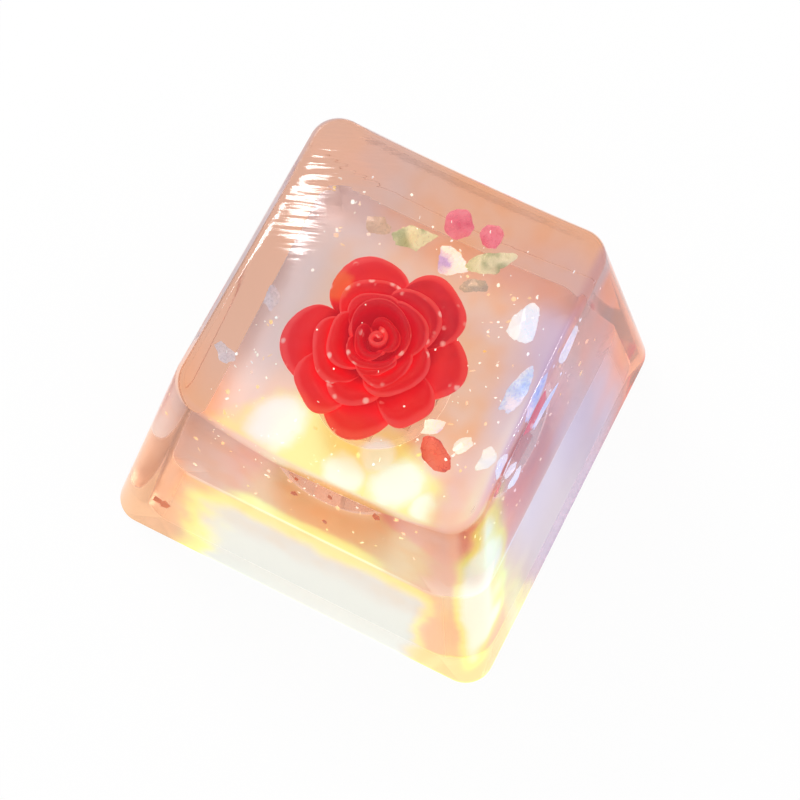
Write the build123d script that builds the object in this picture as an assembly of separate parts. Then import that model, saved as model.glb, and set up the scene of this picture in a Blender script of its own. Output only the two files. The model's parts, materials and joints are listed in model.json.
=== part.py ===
from build123d import *
import os
from math import cos, radians, sqrt, tan

# A one-unit keycap cast in clear resin, with a moulded rose and film flakes set inside it.
# Millimetres, +Z up, foot on z = 0. The low edge of the sloping top faces -Y.

# Cap, outside
BASE_WIDTH = 18.1
FRONT_HEIGHT = 11.5
BACK_HEIGHT = 12.5
SIDE_DRAFT = 11.7
FRONT_DRAFT = 14.4
BACK_DRAFT = 8.2
CORNER_RADIUS = 1.25
RIM_RADIUS = 0.35
DISH_SAG_FRONT = 1.35
DISH_SAG_BACK = 0.45

# Cap, underside
SKIRT_WALL = 1.5
CAVITY_HEIGHT = 4.7
CAVITY_CORNER = 1.2
STEM_DIAMETER = 5.6
STEM_RECESS = 0.8
STEM_ROOT = 0.4
SWITCH_CROSS = 4.0
SWITCH_ARM_X = 1.3
SWITCH_ARM_Y = 1.1
SWITCH_CROSS_HEIGHT = 3.6
SOCKET_CLEARANCE = 0.06

# Rose: a flat-backed moulding that lies in the resin over the cavity
ROSE_FLOOR = 0.7
ROSE_CENTRE_X = -0.7
ROSE_CENTRE_Y = 0.55
ROSE_RADIUS = 4.15
PETAL_WALL = 0.25
CORE_FOOT_RADIUS = 2.2
CORE_HEAD_RADIUS = 0.85
CORE_HEIGHT = 1.5
BUD_FIRST_RADIUS = 0.2
BUD_RADIUS_STEP = 0.24
BUD_HALF_TURNS = 4
BUD_WALL = 0.2
BUD_HEIGHT = 3.0

# Layers of petals: each is a cone's wall, cut to round lobes at the given turns about the rose's axis.
# Then, as shares of the rose's radius, how far out a lobe's middle lies, its radius and its tip's height,
# and the lean of the wall.
PETAL_LAYERS = (
    dict(turns=(126, 8, -88), reach=0.6, lobe=0.4, tip=0.44, lean=24),
    dict(turns=(64, -38, -155), reach=0.59, lobe=0.4, tip=0.33, lean=22),
    dict(turns=(-122, 58), reach=0.29, lobe=0.36, tip=0.64, lean=46),
    dict(turns=(-32, 150), reach=0.28, lobe=0.35, tip=0.55, lean=44),
    dict(turns=(-165, -45, 75), reach=0.14, lobe=0.24, tip=0.76, lean=62),
)

# Film flakes: place on the top as shares of its half width and depth, the depth below it as a share of
# the usual one, length and width as shares of the largest flake's length, then turn and lean
FILM_THICKNESS = 0.08
FLAKE_LENGTH = 2.8
FLAKE_DEPTH = 2.5
FLAKES = {
    "flake_green_short": dict(across=-0.2, along=0.62, depth=1.0, length=0.62, width=0.36, turn=30, lean=15),
    "flake_green_long": dict(across=0.32, along=0.68, depth=1.05, length=0.82, width=0.3, turn=32, lean=20),
    "flake_violet": dict(across=0.11, along=0.64, depth=1.4, length=0.6, width=0.42, turn=-10, lean=12),
    "flake_grey": dict(across=0.3, along=0.54, depth=1.3, length=0.42, width=0.26, turn=20, lean=-15),
    "flake_tan": dict(across=-0.44, along=0.6, depth=1.15, length=0.48, width=0.28, turn=15, lean=10),
    "flake_white": dict(across=0.73, along=0.41, depth=1.05, length=0.76, width=0.46, turn=95, lean=-12),
    "flake_blue": dict(across=0.88, along=0.0, depth=1.0, length=1.0, width=0.28, turn=84, lean=-22),
    "flake_lavender": dict(across=0.48, along=-0.38, depth=1.0, length=0.36, width=0.2, turn=40, lean=18),
    "flake_pearl_near": dict(across=0.72, along=-0.4, depth=1.2, length=0.32, width=0.25, turn=60, lean=-10),
    "flake_pearl_far": dict(across=0.9, along=-0.42, depth=1.2, length=0.42, width=0.22, turn=70, lean=14),
    "flake_left_high": dict(across=-0.8, along=-0.13, depth=1.0, length=0.36, width=0.22, turn=110, lean=10),
    "flake_left_low": dict(across=-0.88, along=-0.56, depth=1.0, length=0.4, width=0.25, turn=-35, lean=-14),
}

# Scraps of petal, placed and sized as the flakes are
SCRAP_THICKNESS = 0.25
SCRAPS = {
    "petal_scrap_red": dict(across=0.58, along=-0.51, depth=1.1, length=0.58, width=0.36, turn=-62, lean=14),
    "petal_scrap_wide": dict(across=0.03, along=0.86, depth=1.3, length=0.44, width=0.36, turn=5, lean=30),
    "petal_scrap_small": dict(across=0.26, along=0.87, depth=1.3, length=0.36, width=0.3, turn=-12, lean=30),
}

# Glitter: small square film scraps strewn in the layer above the cavity
GLITTER_COUNT = 20
GLITTER_SIDE = 0.3
GLITTER_FLOOR = 0.35
GLITTER_RISE = 0.12
GLITTER_LEVELS = 7
GLITTER_INNER_RADIUS = 4.4
GLITTER_SPREAD = 2.0
GLITTER_LEAN = 25
GOLDEN_ANGLE = 137.5

HALF_BASE = BASE_WIDTH / 2
TOP_FRONT_Y = FRONT_HEIGHT * tan(radians(FRONT_DRAFT)) - HALF_BASE
TOP_BACK_Y = HALF_BASE - BACK_HEIGHT * tan(radians(BACK_DRAFT))
STANDING = (Align.CENTER, Align.CENTER, Align.MIN)


def blend(front, back, share):
    """A value part of the way from the front edge of the top to its back edge."""
    return front + (back - front) * share


def half_width(height):
    """Half the cap's width between its sloping sides, at a height."""
    return HALF_BASE - height * tan(radians(SIDE_DRAFT))


def level_corners(height, inset):
    """The corners of the cap's sharp outline at a height, moved in from the outer walls."""
    side = half_width(height) - inset
    front = height * tan(radians(FRONT_DRAFT)) - HALF_BASE + inset
    back = HALF_BASE - height * tan(radians(BACK_DRAFT)) - inset
    return [(-side, front, height), (side, front, height), (side, back, height), (-side, back, height)]


def tapered_block(height, inset, corner):
    """A block between the cap's sloping walls, with its upright corners rounded."""
    foot = level_corners(0, inset)
    head = level_corners(height, inset)
    walls = [(foot[side], foot[side - 1], head[side - 1], head[side]) for side in range(4)]
    faces = [Face(Wire.make_polygon(corners)) for corners in (foot, head, *walls)]
    block = Part(Solid(Shell(faces)).wrapped)
    upright = [edge for edge in block.edges() if abs(edge.tangent_at(0).Z) > 0.5]
    return fillet(upright, corner)


def dish_section(y):
    """Section of the space above the dished top, in the upright plane at y."""
    share = (y - TOP_FRONT_Y) / (TOP_BACK_Y - TOP_FRONT_Y)
    height = blend(FRONT_HEIGHT, BACK_HEIGHT, share)
    sag = blend(DISH_SAG_FRONT, DISH_SAG_BACK, share)
    radius = (half_width(height)**2 + sag**2) / (2 * sag)
    edge = height - sag + radius - sqrt(radius**2 - HALF_BASE**2)
    clear = 2 * BACK_HEIGHT
    plane = Plane(origin=(0, y, 0), x_dir=(1, 0, 0), z_dir=(0, -1, 0))
    floor = ThreePointArc((-HALF_BASE, edge), (0, height - sag), (HALF_BASE, edge))
    sides = Polyline((HALF_BASE, edge), (HALF_BASE, clear), (-HALF_BASE, clear), (-HALF_BASE, edge))
    return plane * make_face(floor + sides)


def cap_outside():
    """The sloping block with its dished top and rounded rim."""
    block = tapered_block(BACK_HEIGHT + DISH_SAG_FRONT, 0, CORNER_RADIUS)
    front = dish_section((TOP_FRONT_Y - HALF_BASE) / 2)
    back = dish_section((TOP_BACK_Y + HALF_BASE) / 2)
    block = block - loft([front, back], ruled=True)
    top = block.faces().sort_by(Axis.Z)[-1]
    return fillet(top.edges(), RIM_RADIUS)


def cross_socket():
    """Room for the cross of a key switch, open at the stem's lower end."""
    length = SWITCH_CROSS + 2 * SOCKET_CLEARANCE
    depth = SWITCH_CROSS_HEIGHT + SOCKET_CLEARANCE
    arm_x = Box(length, SWITCH_ARM_X + 2 * SOCKET_CLEARANCE, depth, align=STANDING)
    arm_y = Box(SWITCH_ARM_Y + 2 * SOCKET_CLEARANCE, length, depth, align=STANDING)
    return Pos(0, 0, STEM_RECESS) * (arm_x + arm_y)


def underside():
    """What is taken out from below: the cavity around the stem, and the stem's socket."""
    cavity = tapered_block(CAVITY_HEIGHT, SKIRT_WALL, CAVITY_CORNER)
    radius = STEM_DIAMETER / 2
    stem = Pos(0, 0, STEM_RECESS) * Cylinder(radius, CAVITY_HEIGHT, align=STANDING)
    root = Cone(radius, radius + STEM_ROOT, STEM_ROOT, align=STANDING)
    return cavity - stem - Pos(0, 0, CAVITY_HEIGHT - STEM_ROOT) * root + cross_socket()


def petal_layer(turns, reach, lobe, tip, lean):
    """Petals of one layer: lobes of a flaring cone's wall that rises from inside the core."""
    outer = (reach + lobe) * ROSE_RADIUS
    height = tip * ROSE_RADIUS
    slope = tan(radians(lean))
    thickness = PETAL_WALL / cos(radians(lean))
    inner = max(outer - height / slope, 0) + thickness / slope
    low = height - (outer - inner) * slope
    section = Polyline(
        (inner, low - thickness),
        (outer, height - thickness),
        (outer, height),
        (inner, low),
        close=True,
    )
    sheet = revolve(Plane.XZ * make_face(section), Axis.Z)
    petal = Pos(reach * ROSE_RADIUS, 0, 0) * Cylinder(lobe * ROSE_RADIUS, 2 * height, align=STANDING)
    petals = [Rot(0, 0, turn) * petal for turn in turns]
    return sheet & sum(petals[1:], petals[0])


def bud():
    """The rolled heart of the rose: a spiral wall of half circles."""
    ends = [BUD_FIRST_RADIUS + BUD_RADIUS_STEP * turn for turn in range(BUD_HALF_TURNS + 1)]
    ends = [end if turn % 2 == 0 else -end for turn, end in enumerate(ends)]
    roll = Curve()
    for turn in range(BUD_HALF_TURNS):
        middle = (ends[turn] + ends[turn + 1]) / 2
        side = (ends[turn] - ends[turn + 1]) / 2
        roll += ThreePointArc((ends[turn], 0), (middle, side), (ends[turn + 1], 0))
    return extrude(trace(roll, BUD_WALL), BUD_HEIGHT)


def rose():
    """The rose as one moulding, its back flat."""
    core = Cone(CORE_FOOT_RADIUS, CORE_HEAD_RADIUS, CORE_HEIGHT, align=STANDING)
    flower = core + [petal_layer(**layer) for layer in PETAL_LAYERS] + bud()
    return Pos(ROSE_CENTRE_X, ROSE_CENTRE_Y, CAVITY_HEIGHT + ROSE_FLOOR) * flower


def shard(length, width, thickness):
    """A torn scrap: five uneven sides, longer than it is wide."""
    outline = Polyline(
        (-length / 2, -width / 6),
        (-length / 8, -width / 2),
        (length / 2, -width / 5),
        (length / 4, width / 2),
        (-length / 3, width / 3),
        close=True,
    )
    return extrude(make_face(outline), thickness / 2, both=True)


def below_top(across, along, depth):
    """A place below the dished top, from shares of the top's half width and half depth."""
    share = (along + 1) / 2
    height = blend(FRONT_HEIGHT, BACK_HEIGHT, share)
    surface = height - blend(DISH_SAG_FRONT, DISH_SAG_BACK, share) * (1 - across**2)
    return Pos(across * half_width(height), blend(TOP_FRONT_Y, TOP_BACK_Y, share), surface - depth)


def scrap(thickness, across, along, depth, length, width, turn, lean):
    """One flake or scrap of petal where it lies in the resin."""
    place = below_top(across, along, depth * FLAKE_DEPTH)
    sheet = shard(length * FLAKE_LENGTH, width * FLAKE_LENGTH, thickness)
    return place * Rot(0, 0, turn) * Rot(lean, 0, 0) * sheet


def glitter():
    """Small square film scraps on a widening spiral above the cavity, each at its own lean."""
    scraps = []
    for count in range(GLITTER_COUNT):
        reach = GLITTER_INNER_RADIUS + GLITTER_SPREAD * count / GLITTER_COUNT
        height = CAVITY_HEIGHT + GLITTER_FLOOR + GLITTER_RISE * (count % GLITTER_LEVELS)
        lean = GOLDEN_ANGLE * count % (2 * GLITTER_LEAN) - GLITTER_LEAN
        square = Rot(lean, 0, 0) * Box(GLITTER_SIDE, GLITTER_SIDE, FILM_THICKNESS)
        scraps.append(Rot(0, 0, GOLDEN_ANGLE * count) * Pos(reach, 0, height) * square)
    return Compound(scraps)


def build():
    """Every node by name. The resin is cast round the rest, so it holds a print of each piece."""
    nodes = {"rose": rose()}
    for name, lie in SCRAPS.items():
        nodes[name] = scrap(SCRAP_THICKNESS, **lie)
    for name, lie in FLAKES.items():
        nodes[name] = scrap(FILM_THICKNESS, **lie)
    nodes["glitter"] = glitter()
    inside = [solid for piece in nodes.values() for solid in piece.solids()]
    nodes["resin_cap"] = cap_outside() - underside() - inside
    return nodes


if __name__ == "__main__":
    os.makedirs("parts", exist_ok=True)
    for node, shape in build().items():
        export_step(shape, f"parts/{node}.step")
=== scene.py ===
import json
import math

import bmesh
import bpy
import numpy as np
from bpy.props import FloatProperty, FloatVectorProperty, IntProperty, PointerProperty
from mathutils import Matrix, Vector


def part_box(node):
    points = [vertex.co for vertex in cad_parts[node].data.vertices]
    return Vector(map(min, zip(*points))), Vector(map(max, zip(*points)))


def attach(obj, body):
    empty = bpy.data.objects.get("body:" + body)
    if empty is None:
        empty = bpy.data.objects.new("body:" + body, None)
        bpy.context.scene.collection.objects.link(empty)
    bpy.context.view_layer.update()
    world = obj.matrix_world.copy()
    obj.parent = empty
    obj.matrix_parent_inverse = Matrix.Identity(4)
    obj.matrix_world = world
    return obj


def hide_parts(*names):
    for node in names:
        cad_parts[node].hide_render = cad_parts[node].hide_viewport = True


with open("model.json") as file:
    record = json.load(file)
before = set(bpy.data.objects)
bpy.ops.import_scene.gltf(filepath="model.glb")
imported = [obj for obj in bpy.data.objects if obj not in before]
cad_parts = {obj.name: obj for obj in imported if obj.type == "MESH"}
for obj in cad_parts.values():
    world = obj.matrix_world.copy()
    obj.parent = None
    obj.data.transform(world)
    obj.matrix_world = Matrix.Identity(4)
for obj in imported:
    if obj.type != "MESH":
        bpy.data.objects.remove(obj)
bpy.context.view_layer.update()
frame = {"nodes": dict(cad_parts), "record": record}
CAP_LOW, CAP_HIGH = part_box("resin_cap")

bl_info = {
    "name": "Rose keycap",
    "version": (1, 0, 0),
    "blender": (4, 5, 0),
    "location": "View3D > Sidebar > Keycap",
    "description": "Dresses a clear resin keycap with a rose and film flakes set inside it",
    "category": "Object",
}

MM = 0.001
WHITE = (1.0, 1.0, 1.0)
BLACK = (0.0, 0.0, 0.0)
ALL_SMOOTH = math.pi


# Settings that a user would change

def length(name, description, default):
    """A size in metres."""
    return FloatProperty(name=name, description=description, default=default, unit="LENGTH",
                         precision=5)


def angle(name, description, degrees):
    """An angle, given in degrees and kept in radians."""
    return FloatProperty(name=name, description=description, default=math.radians(degrees),
                         subtype="ANGLE")


def colour(name, description, default):
    """A colour in linear red, green and blue."""
    return FloatVectorProperty(name=name, description=description, default=default, subtype="COLOR",
                               size=3, min=0, max=1)


class CapShape(bpy.types.PropertyGroup):
    """Sizes of the cast cap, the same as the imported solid's."""
    foot_width: length("Foot width", "Side of the square foot", CAP_HIGH.x - CAP_LOW.x)
    front_height: length("Front height", "Height of the top's sharp front corners", 11.5 * MM)
    back_height: length("Back height", "Height of the top's sharp back corners", 12.5 * MM)
    side_draft: angle("Side draft", "Lean of the left and right walls", 11.7)
    front_draft: angle("Front draft", "Lean of the front wall", 14.4)
    back_draft: angle("Back draft", "Lean of the back wall", 8.2)
    corner: length("Corner", "Radius of the upright corners", 1.25 * MM)
    rim: length("Rim", "Radius of the edge round the top", 0.35 * MM)
    dish_front: length("Dish, front", "Depth of the dish at the front edge", 1.35 * MM)
    dish_back: length("Dish, back", "Depth of the dish at the back edge", 0.45 * MM)
    skirt: length("Skirt", "Thickness of the walls round the cavity", 1.5 * MM)
    cavity_height: length("Cavity height", "Height of the cavity's ceiling over the foot", 4.7 * MM)
    cavity_corner: length("Cavity corner", "Radius of the cavity's upright corners", 1.2 * MM)
    stem: length("Stem", "Diameter of the stem", 5.6 * MM)
    stem_recess: length("Stem recess", "How far the stem ends above the foot", 0.8 * MM)
    stem_root: length("Stem root", "Size of the cone where the stem leaves the ceiling", 0.4 * MM)
    socket: length("Socket", "Length of the cross socket's arms, end to end", 4.12 * MM)
    socket_arm_x: length("Socket arm, across", "Width of the arm that runs across", 1.42 * MM)
    socket_arm_y: length("Socket arm, along", "Width of the arm that runs front to back", 1.22 * MM)
    socket_depth: length("Socket depth", "Depth of the cross socket", 3.66 * MM)


class CapColours(bpy.types.PropertyGroup):
    """Colours of the resin, the rose and the painted light that stands in for the light coming up through
    the cap.
    """
    peach: colour("Peach", "Resin at the back and in the middle", (0.93, 0.71, 0.58))
    apricot: colour("Apricot", "Clouds in the resin, and its front and left foot", (0.96, 0.62, 0.40))
    rust: colour("Rust", "Back of the right wall", (0.90, 0.16, 0.04))
    lilac: colour("Lilac", "Resin towards the right", (0.73, 0.67, 0.91))
    orchid: colour("Orchid", "Right wall", (0.58, 0.44, 0.68))
    blush: colour("Blush", "Resin towards the left", (0.75, 0.74, 0.81))
    ice: colour("Ice", "Right wall of the cavity", (0.98, 0.98, 1.0))
    # Pane: the front wall painted paler where the painted light lies behind it.
    pane: colour("Pane", "Front wall before the light", (0.98, 0.97, 0.88))
    depth: colour("Depth", "What the resin's thickness lets through", (0.82, 0.44, 0.29))
    # Amber and lemon: painted light in the colour of the cavity's front walls.
    amber: colour("Amber", "Cavity walls round the light", (0.98, 0.58, 0.28))
    lemon: colour("Lemon", "Cavity walls at the edge of the light", (1.0, 0.94, 0.28))
    # Ember to core, all but salmon: painted glow, emission on the resin that stands in for the light
    # coming up through the cap.
    ember: colour("Ember", "Faint light over the front of the cavity", (0.15, 0.05, 0.01))
    haze: colour("Haze", "Light on the front of the cavity's ceiling", (0.14, 0.24, 0.03))
    pool: colour("Pool", "Light that comes up through the top", (0.0, 0.12, 0.13))
    brink: colour("Brink", "Light along the front edge of the cavity's ceiling", (0.32, 0.75, 0.12))
    salmon: colour("Salmon", "Front right corner of the cavity", (0.93, 0.54, 0.38))
    # Painted highlight: the long bright strip in the front of the right wall, and its edge.
    highlight_strip: colour("Flare", "Light in the front of the right wall", (0.06, 0.40, 0.42))
    highlight_strip_edge: colour("Flare edge", "Edge of the light in the right wall", (0.06, 0.26, 0.0))
    dusk: colour("Dusk", "Light at the back of the cavity", (0.07, 0.07, 0.08))
    frostlight: colour("Frost light", "Light on the right wall of the cavity", (0.13, 0.17, 0.10))
    root: colour("Root", "Light where the stem leaves the ceiling", (0.32, 0.40, 0.37))
    # Painted sheen: cool light on the right wall.
    painted_sheen: colour("Sheen", "Cool light in the right wall", (0.0, 0.02, 0.09))
    backlight: colour("Backlight", "Warm light in the back of the right wall", (0.05, 0.01, 0.0))
    glow: colour("Glow", "Edge of the light in the cavity", (0.26, 0.28, 0.0))
    core: colour("Core", "Brightest light in the cavity", (0.05, 0.09, 0.08))
    petal: colour("Petal", "Rose petals", (0.84, 0.0, 0.012))
    # Painted highlight along the petals' lips.
    petal_lip_highlight: colour("Petal lip", "Thin lips of the petals", (0.95, 0.10, 0.12))
    petal_outer: colour("Petal, outer", "Outermost petals", (0.84, 0.03, 0.055))
    # Painted shade between the petals, deepest at each petal's foot.
    petal_painted_shade: colour("Petal, deep", "Between the petals", (0.48, 0.003, 0.025))
    crimson: colour("Crimson", "Petals at the back and right of the rose", (0.60, 0.003, 0.035))
    coral: colour("Coral", "Splash on a petal at the left of the rose", (0.90, 0.19, 0.07))
    speck: colour("Speck", "Bright specks on the petals", (1.0, 0.60, 0.62))


class RoseShape(bpy.types.PropertyGroup):
    """Place and fineness of the rose, and how its petals curl."""
    centre_x: length("Centre, across", "Where the rose's axis stands, across the cap", -0.7 * MM)
    centre_y: length("Centre, along", "Where the rose's axis stands, front to back", 0.55 * MM)
    columns: IntProperty(name="Columns", description="Points across a petal", default=27, min=5)
    rows: IntProperty(name="Rows", description="Points from a petal's foot to its lip", default=13, min=5)
    wall: length("Wall", "Thickness of a petal", 0.19 * MM)
    roll: length("Roll", "How far a petal's lip turns down", 0.34 * MM)
    wave: length("Wave", "How far a petal's lip waves", 0.1 * MM)


# Shaders

def feed(tree, port, value):
    """Links a flow to a socket, or sets the socket's own value."""
    if isinstance(value, Flow):
        tree.links.new(value.socket, port)
    else:
        port.default_value = value


def operator(operation, reflected=False):
    """A Python operator on flows that adds one Math node."""
    def act(flow, other):
        first, second = (other, flow) if reflected else (flow, other)
        return flow.maths(operation, first, second)
    return act


class Flow:
    """A shader socket that can stand in a Python expression."""

    def __init__(self, tree, socket):
        self.tree = tree
        self.socket = socket

    def maths(self, operation, first, second):
        """One Math node on two values or flows."""
        node = self.tree.nodes.new("ShaderNodeMath")
        node.operation = operation
        feed(self.tree, node.inputs[0], first)
        feed(self.tree, node.inputs[1], second)
        return Flow(self.tree, node.outputs[0])

    __add__ = operator("ADD")
    __radd__ = operator("ADD", reflected=True)
    __sub__ = operator("SUBTRACT")
    __rsub__ = operator("SUBTRACT", reflected=True)
    __mul__ = operator("MULTIPLY")
    __rmul__ = operator("MULTIPLY", reflected=True)
    __truediv__ = operator("DIVIDE")
    __rtruediv__ = operator("DIVIDE", reflected=True)
    __pow__ = operator("POWER")
    __rpow__ = operator("POWER", reflected=True)


class Finish:
    """A material, and the one way to add a node to it."""

    def __init__(self, name):
        self.material = bpy.data.materials.new(name)
        self.material.use_nodes = True
        self.material.cycles.emission_sampling = "NONE"
        self.tree = self.material.node_tree
        self.tree.nodes.clear()

    def node(self, kind, settings=None, sockets=None, out=0):
        """Adds a node: its settings first, then its sockets' values or links. Gives one output."""
        node = self.tree.nodes.new(kind)
        for name, value in (settings or {}).items():
            if name == "stops":
                self.set_stops(node.color_ramp, value)
            else:
                setattr(node, name, value)
        for name, value in (sockets or {}).items():
            feed(self.tree, node.inputs[name], value)
        return Flow(self.tree, node.outputs[out])

    def set_stops(self, ramp, stops):
        """Gives a ramp its colours, each with its place from 0 to 1."""
        while len(ramp.elements) < len(stops):
            ramp.elements.new(1.0)
        for element, (place, shade) in zip(ramp.elements, stops):
            element.position = place
            element.color = (*shade, 1.0)

    def mix(self, factor, low, high):
        """Two colours mixed by a factor."""
        low = low if isinstance(low, Flow) else (*low, 1.0)
        high = high if isinstance(high, Flow) else (*high, 1.0)
        return self.node("ShaderNodeMix", {"data_type": "RGBA"}, {0: factor, 6: low, 7: high}, out=2)

    def layers(self, base, *coats):
        """Colours laid over a base one after another, each where its mask says."""
        for mask, shade in coats:
            base = self.mix(mask, base, shade)
        return base

    def ease(self, value, start, end):
        """0 before start, 1 after end, smooth between."""
        return self.node("ShaderNodeMapRange", {"interpolation_type": "SMOOTHSTEP"},
                         {"Value": value, "From Min": start, "From Max": end})

    def place(self):
        """Where a point is in the part's own frame, in metres."""
        return self.node("ShaderNodeTexCoord", out="Object")

    def noise(self, vector, size, detail=3.0, roughness=0.55):
        """Cloudy noise from 0 to 1 with features of about the given size in metres."""
        return self.node("ShaderNodeTexNoise", {"noise_dimensions": "3D"},
                         {"Vector": vector, "Scale": 1.0 / size, "Detail": detail, "Roughness": roughness})

    def stretch(self, vector, x, y, z):
        """The place with each axis scaled."""
        return self.node("ShaderNodeVectorMath", {"operation": "MULTIPLY"}, {0: vector, 1: (x, y, z)})

    def axis(self, vector, name):
        """One of a vector's three values."""
        return self.node("ShaderNodeSeparateXYZ", None, {"Vector": vector}, out=name)

    def reach(self, vector, way):
        """How far a point lies along a way, from the origin."""
        return self.node("ShaderNodeVectorMath", {"operation": "DOT_PRODUCT"},
                         {0: vector, 1: way}, out="Value")

    def clamp(self, value):
        """A value kept between 0 and 1."""
        return self.node("ShaderNodeClamp", None, {"Value": value})

    def mark(self, name):
        """A value that the mesh keeps at its points."""
        return self.node("ShaderNodeAttribute", {"attribute_name": name}, out="Fac")

    def bump(self, height, distance, strength):
        """A normal tilted by a height that varies over the surface."""
        return self.node("ShaderNodeBump", None,
                         {"Height": height, "Distance": distance, "Strength": strength}, out="Normal")

    def spots(self, vector, spots, ragged):
        """1 in round spots with ragged edges: a place across and along and a radius in millimetres."""
        nearest = None
        for x, y, radius in spots:
            away = self.node("ShaderNodeVectorMath", {"operation": "DISTANCE"},
                             {0: vector, 1: (x * MM, y * MM, 0)}, out="Value")
            away = away / (radius * MM)
            nearest = away if nearest is None else away.maths("MINIMUM", nearest, away)
        return 1 - self.ease(nearest + ragged, 0.5, 1.1)

    def finish(self, surface, volume=None):
        """Links the shaders to the output and gives the material."""
        output = self.tree.nodes.new("ShaderNodeOutputMaterial")
        feed(self.tree, output.inputs["Surface"], surface)
        if volume is not None:
            feed(self.tree, output.inputs["Volume"], volume)
        return self.material


# Where the painted light comes up brightest through the top: place across, place along and radius in
# millimetres
POOLS = ((-2.3, -5.0, 1.3), (0.9, -5.8, 0.9), (3.2, -5.2, 1.2), (1.9, -4.4, 0.8), (4.5, -5.7, 0.8))


class ResinMasks:
    """Where each tint and each painted light of the resin lies, as values from 0 to 1 over its surface."""

    def __init__(self, look):
        self.look = look
        self.place = look.place()
        self.flat = look.stretch(self.place, 1.0, 1.0, 0.0)
        self.x = look.axis(self.place, "X")
        self.y = look.axis(self.place, "Y")
        self.z = look.axis(self.place, "Z")
        cloud = look.noise(self.place, 3.0 * MM, 1.0)
        self.blot = look.noise(self.place, 1.3 * MM, 1.0)
        self.soft = look.noise(self.place, 2.2 * MM, 1.0)
        self.fine = look.noise(self.place, 0.5 * MM, 1.0)
        self.drift = (cloud - 0.5) * (5 * MM)
        self.wander = (self.soft - 0.5) * (1.6 * MM) + (self.fine - 0.5) * (0.5 * MM)
        self.ragged = (self.soft - 0.5) * (2.6 * MM) + (self.fine - 0.5) * (0.5 * MM)
        self.frost = look.ease(look.mark("inside"), 0.3, 0.9)
        self.ceiling = self.band(self.z, 4.45, 4.65)
        self.low = 1 - self.band(self.z, 0.05, 0.15)
        self.find_regions()
        self.find_wall_light()
        self.find_pools()

    def band(self, value, start, end):
        """0 before a place and 1 after another, both in millimetres."""
        return self.look.ease(value, start * MM, end * MM)

    def find_regions(self):
        """The parts of the walls and the top that differ in tint."""
        band, x, y, z, drift = self.band, self.x, self.y, self.z, self.drift
        self.side = band(x + 0.2 * z, 8.4, 8.8)
        self.right = band(x + 0.3 * y + drift, 3.6, 7) * band(y + drift, -7.5, -4)
        self.right = self.right * (1 - band(y + 0.5 * drift, 4.5, 7))
        self.left = band(drift - x, 0.5, 6) * band(y + drift, -6, -3)
        self.foot = band(drift - x, 4, 7) * (1 - band(z, 3, 9)) * (1 - self.frost)
        self.corner = band(x + drift, 4, 7) * band(0 - y, 4, 7)
        self.back = self.side * band(y + drift, 2.5, 6.5) * (1 - band(z, 10.8, 11.8))
        self.near = self.frost * (1 - band(y + 0.3 * drift, -0.5, 3.5))

    def find_wall_light(self):
        """The painted light on the front walls of the cavity, and the plain column beside it at the right.
        """
        band, x, y, z, ragged = self.band, self.x, self.y, self.z, self.ragged
        column = band(x + 0.6 * ragged, 5, 6.3) * band(ragged - y, 4.6, 6)
        self.column = column * (1 - 0.45 * self.low)
        wall = band(ragged - y, 3.2, 6.2) * band(x + ragged, -6.4, -3.2)
        wall = wall * (1 - 0.55 * band(z + 0.5 * ragged, 2.9, 4.3))
        self.wall = wall * (1 - 0.9 * self.column)
        self.light = self.wall * (1 - self.ceiling)
        self.shown = self.look.clamp(self.frost + self.low)

    def find_pools(self):
        """The painted light that comes up through the front of the top, and its brightest patches."""
        band, wander = self.band, self.wander
        x = self.x + self.frost * (0.56 * MM - 0.15 * self.x)
        y = self.y - self.frost * (1.4 * MM)
        pools = band(wander - y, 3, 4) * band(x - 0.85 * y + wander, 0.2, 1.2)
        pools = pools * band(wander - y - 0.5 * x, 1.9, 2.7)
        self.pools = pools * (1 - band(x + wander, 4.4, 5.6))
        edge = (self.soft - 0.5) * 0.8 + (self.fine - 0.5) * 0.3
        self.patch = self.look.spots(self.flat, POOLS, edge) * self.pools
        self.dish = band(self.y, -6.3, -6.1) * band(self.z, 8.5, 9)

    def stem_root(self):
        """The cone where the stem leaves the ceiling."""
        band = self.band
        radius = self.look.node("ShaderNodeVectorMath", {"operation": "LENGTH"},
                                {0: self.flat}, out="Value")
        root = band(radius, 2.7, 2.8) * (1 - band(radius, 3.2, 3.25))
        return root * band(self.z, 4.25, 4.3) * (1 - band(self.z, 4.75, 4.8)) * self.frost

    def highlight_strip(self):
        """Where the painted highlight lies: a long spot in the front of the right wall, leaning with the
        wall's front edge.
        """
        along = (self.look.reach(self.place, (0, 0.42, 0.91)) - 2.7 * MM) / (6.8 * MM)
        across = (self.look.reach(self.place, (0, 0.91, -0.42)) + 8.5 * MM) / (2.5 * MM)
        away = (along * along + across * across) ** 0.5 + self.soft - 0.5
        wall = self.band(self.x + 0.2 * self.z + 0.3 * self.ragged, 7.8, 8.7) * (1 - self.frost)
        return wall * (1 - self.look.ease(away, 0.3, 1.0))


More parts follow.
